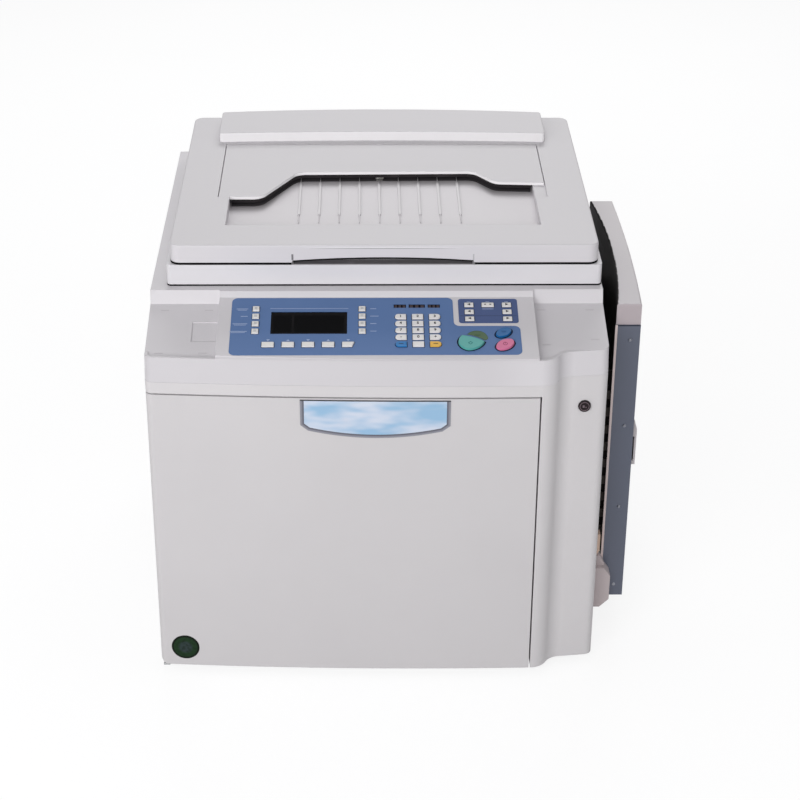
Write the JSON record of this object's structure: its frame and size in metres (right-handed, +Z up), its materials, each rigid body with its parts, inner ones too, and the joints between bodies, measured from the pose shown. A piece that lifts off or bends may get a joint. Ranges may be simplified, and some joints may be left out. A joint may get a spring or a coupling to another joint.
{
  "type": "digital duplicator",
  "caption": "Desktop digital duplicator with a flat scanner under a hinged lid, sloping control panel, front door over the print drum, side paper tray and folding delivery tray.",
  "frame": {"origin": "on the floor, at the middle of the footprint of the whole machine with its trays folded", "axes": "+Z up, the front with the control panel faces -Y, the paper feed tray is on +X"},
  "size_m": [0.658, 0.6472, 0.598],
  "materials": {
    "cabinet_plastic": "fine texture",
    "top_plastic": "fine texture",
    "door_plastic": "fine texture",
    "scanner_plastic": "fine texture",
    "lid_plastic": "fine texture",
    "table_plastic": "fine texture",
    "white_plate": "smooth",
    "tray_plastic": "fine texture",
    "exit_plastic": "fine texture",
    "guide_plastic": "fine texture",
    "tray_steel": "satin paint",
    "carriage_plastic": "fine texture",
    "rubber": "matt",
    "roller_rubber": "matt",
    "feed_rubber": "matt",
    "frame_steel": "zinc plated",
    "pan_steel": "satin paint",
    "bright_steel": "ground",
    "panel_film": "satin film",
    "function_film": "satin film",
    "window": "clear gloss",
    "pale_keys": "satin",
    "start_key": "satin",
    "master_key": "satin",
    "test_key": "satin",
    "stop_key": "satin",
    "dark_button": "satin",
    "nameplate": "satin film",
    "glass": "polished",
    "scan_black": "fine texture",
    "drum_disc": "fine texture",
    "drum_screen": "woven screen",
    "gear_plastic": "natural",
    "pinion_steel": "cut steel",
    "motor_case": "satin paint",
    "ink_bottle": "smooth",
    "master_film": "thin film",
    "eject_plastic": "fine texture",
    "delivery_plastic": "fine texture",
    "fan_plastic": "smooth",
    "supply_case": "zinc plated"
  },
  "bodies": {
    "cabinet": {"front_bezel": "cabinet_plastic", "left_cover": "cabinet_plastic", "right_cover": "cabinet_plastic", "rear_cover": "cabinet_plastic", "top_cover": "top_plastic", "scanner_housing": "scanner_plastic", "rubber_feet": "rubber", "front_frame": "frame_steel", "rear_frame": "frame_steel", "frame_stays": "frame_steel", "feed_guide": "frame_steel", "door_hinges": "frame_steel", "lid_hinges": "frame_steel", "base_pan": "pan_steel", "lift_rods": "bright_steel", "scanner_rails": "bright_steel", "panel_overlay": "panel_film", "function_overlay": "function_film", "display_windows": "window", "platen_glass": "glass", "master_unit": "scan_black", "drum_frame": "drum_disc", "main_motor": "motor_case", "ink_cartridge": "ink_bottle", "eject_box": "eject_plastic", "delivery_unit": "delivery_plastic", "fan_housing": "fan_plastic", "power_inlet": "fan_plastic", "power_supply": "supply_case"},
    "lid": {"lid_shell": "lid_plastic", "lid_rear_cover": "lid_plastic", "pressing_plate": "white_plate"},
    "document_table": {"document_table": "table_plastic"},
    "door": {"front_door": "door_plastic", "nameplate": "nameplate"},
    "scan_carriage": {"scan_carriage": "scan_black"},
    "drum": {"drum_cylinder": "drum_screen", "drum_gear": "gear_plastic"},
    "motor_pinion": {"motor_pinion": "pinion_steel"},
    "pressure_roller": {"pressure_roller": "roller_rubber"},
    "feed_roller": {"feed_roller": "feed_rubber"},
    "master_roll": {"master_roll": "master_film"},
    "fan_rotor": {"fan_rotor": "fan_plastic"},
    "power_switch": {"power_switch": "fan_plastic"},
    "delivery_tray": {"delivery_tray": "exit_plastic"},
    "lift_carriage": {"lift_carriage": "carriage_plastic"},
    "feed_tray": {"feed_tray": "tray_plastic", "tray_side_plates": "tray_steel", "tray_handle": "tray_plastic"},
    "side_guide_front": {"side_guide_front": "guide_plastic"},
    "side_guide_rear": {"side_guide_rear": "guide_plastic"},
    "tray_button": {"tray_button": "dark_button"},
    "start_key": {"start_key": "start_key"},
    "master_key": {"master_key": "master_key"},
    "test_key": {"test_key": "test_key"},
    "stop_key": {"stop_key": "stop_key"},
    "display_keys": {"display_keys": "pale_keys"},
    "number_keys": {"number_keys": "pale_keys"},
    "function_keys": {"function_keys": "pale_keys"}
  },
  "joints": [
    {"name": "lid_hinge", "type": "hinge", "parent": "cabinet", "child": "lid", "pos_m": [-0.029, 0.31915, 0.56], "axis": [-1, 0, 0], "range_deg": [0, 70]},
    {"name": "table_hinge", "type": "hinge", "parent": "lid", "child": "document_table", "pos_m": [-0.029, 0.19815, 0.582], "axis": [-1, 0, 0], "range_deg": [0, 60]},
    {"name": "door_hinge", "type": "hinge", "parent": "cabinet", "child": "door", "pos_m": [-0.3215, -0.30235, 0.222], "axis": [0, 0, -1], "range_deg": [0, 105]},
    {"name": "scan_slide", "type": "slide", "parent": "cabinet", "child": "scan_carriage", "axis": [1, 0, 0], "range_m": [0, 0.38]},
    {"name": "drum_spin", "type": "hinge", "parent": "cabinet", "child": "drum", "pos_m": [-0.049, -0.02485, 0.295], "axis": [0, 1, 0], "continuous": true},
    {"name": "pinion_spin", "type": "hinge", "parent": "cabinet", "child": "motor_pinion", "pos_m": [0.0321, 0.17515, 0.35178], "axis": [0, 1, 0], "continuous": true},
    {"name": "press_spin", "type": "hinge", "parent": "cabinet", "child": "pressure_roller", "pos_m": [-0.049, -0.02485, 0.1867], "axis": [0, 1, 0], "continuous": true},
    {"name": "feed_spin", "type": "hinge", "parent": "cabinet", "child": "feed_roller", "pos_m": [0.193, -0.02235, 0.205], "axis": [0, 1, 0], "continuous": true},
    {"name": "roll_spin", "type": "hinge", "parent": "cabinet", "child": "master_roll", "pos_m": [0.159, -0.02485, 0.394], "axis": [0, 1, 0], "continuous": true},
    {"name": "fan_spin", "type": "hinge", "parent": "cabinet", "child": "fan_rotor", "pos_m": [-0.209, 0.30515, 0.24], "axis": [0, 1, 0], "continuous": true},
    {"name": "switch_rocker", "type": "hinge", "parent": "cabinet", "child": "power_switch", "pos_m": [0.16, 0.31615, 0.08], "axis": [-1, 0, 0], "range_deg": [0, 18]},
    {"name": "delivery_tray_hinge", "type": "hinge", "parent": "cabinet", "child": "delivery_tray", "pos_m": [-0.322, -0.02235, 0.066], "axis": [0, -1, 0], "range_deg": [0, 90]},
    {"name": "tray_lift", "type": "slide", "parent": "cabinet", "child": "lift_carriage", "axis": [0, 0, 1], "range_m": [0, 0.15]},
    {"name": "feed_tray_hinge", "type": "hinge", "parent": "lift_carriage", "child": "feed_tray", "pos_m": [0.285, -0.02235, 0.08], "axis": [0, 1, 0], "range_deg": [0, 90]},
    {"name": "guide_front_slide", "type": "slide", "parent": "feed_tray", "child": "side_guide_front", "axis": [0, 1, 0], "range_m": [0, 0.09]},
    {"name": "guide_rear_slide", "type": "slide", "parent": "feed_tray", "child": "side_guide_rear", "axis": [0, -1, 0], "range_m": [0, 0.09]},
    {"name": "tray_button_push", "type": "slide", "parent": "cabinet", "child": "tray_button", "axis": [0, 1, 0], "range_m": [0, 0.002], "stiffness_N_per_m": 400, "springref_m": -0.002},
    {"name": "start_key_push", "type": "slide", "parent": "cabinet", "child": "start_key", "axis": [0, 0.2385, -0.9711], "range_m": [0, 0.0012], "stiffness_N_per_m": 500, "springref_m": -0.0015},
    {"name": "master_key_push", "type": "slide", "parent": "cabinet", "child": "master_key", "axis": [0, 0.2385, -0.9711], "range_m": [0, 0.0012], "stiffness_N_per_m": 500, "springref_m": -0.0015},
    {"name": "test_key_push", "type": "slide", "parent": "cabinet", "child": "test_key", "axis": [0, 0.2385, -0.9711], "range_m": [0, 0.0012], "stiffness_N_per_m": 500, "springref_m": -0.0015},
    {"name": "stop_key_push", "type": "slide", "parent": "cabinet", "child": "stop_key", "axis": [0, 0.2385, -0.9711], "range_m": [0, 0.0012], "stiffness_N_per_m": 500, "springref_m": -0.0015},
    {"name": "display_keys_push", "type": "slide", "parent": "cabinet", "child": "display_keys", "axis": [0, 0.2385, -0.9711], "range_m": [0, 0.0012], "stiffness_N_per_m": 900, "springref_m": -0.0015},
    {"name": "number_keys_push", "type": "slide", "parent": "cabinet", "child": "number_keys", "axis": [0, 0.2385, -0.9711], "range_m": [0, 0.0012], "stiffness_N_per_m": 900, "springref_m": -0.0015},
    {"name": "function_keys_push", "type": "slide", "parent": "cabinet", "child": "function_keys", "axis": [0, 0.2385, -0.9711], "range_m": [0, 0.0012], "stiffness_N_per_m": 900, "springref_m": -0.0015}
  ],
  "couplings": [
    {"joint": "pinion_spin", "follows": "drum_spin", "ratio": -3.7143},
    {"joint": "press_spin", "follows": "drum_spin", "ratio": -5},
    {"joint": "guide_rear_slide", "follows": "guide_front_slide", "ratio": 1}
  ]
}
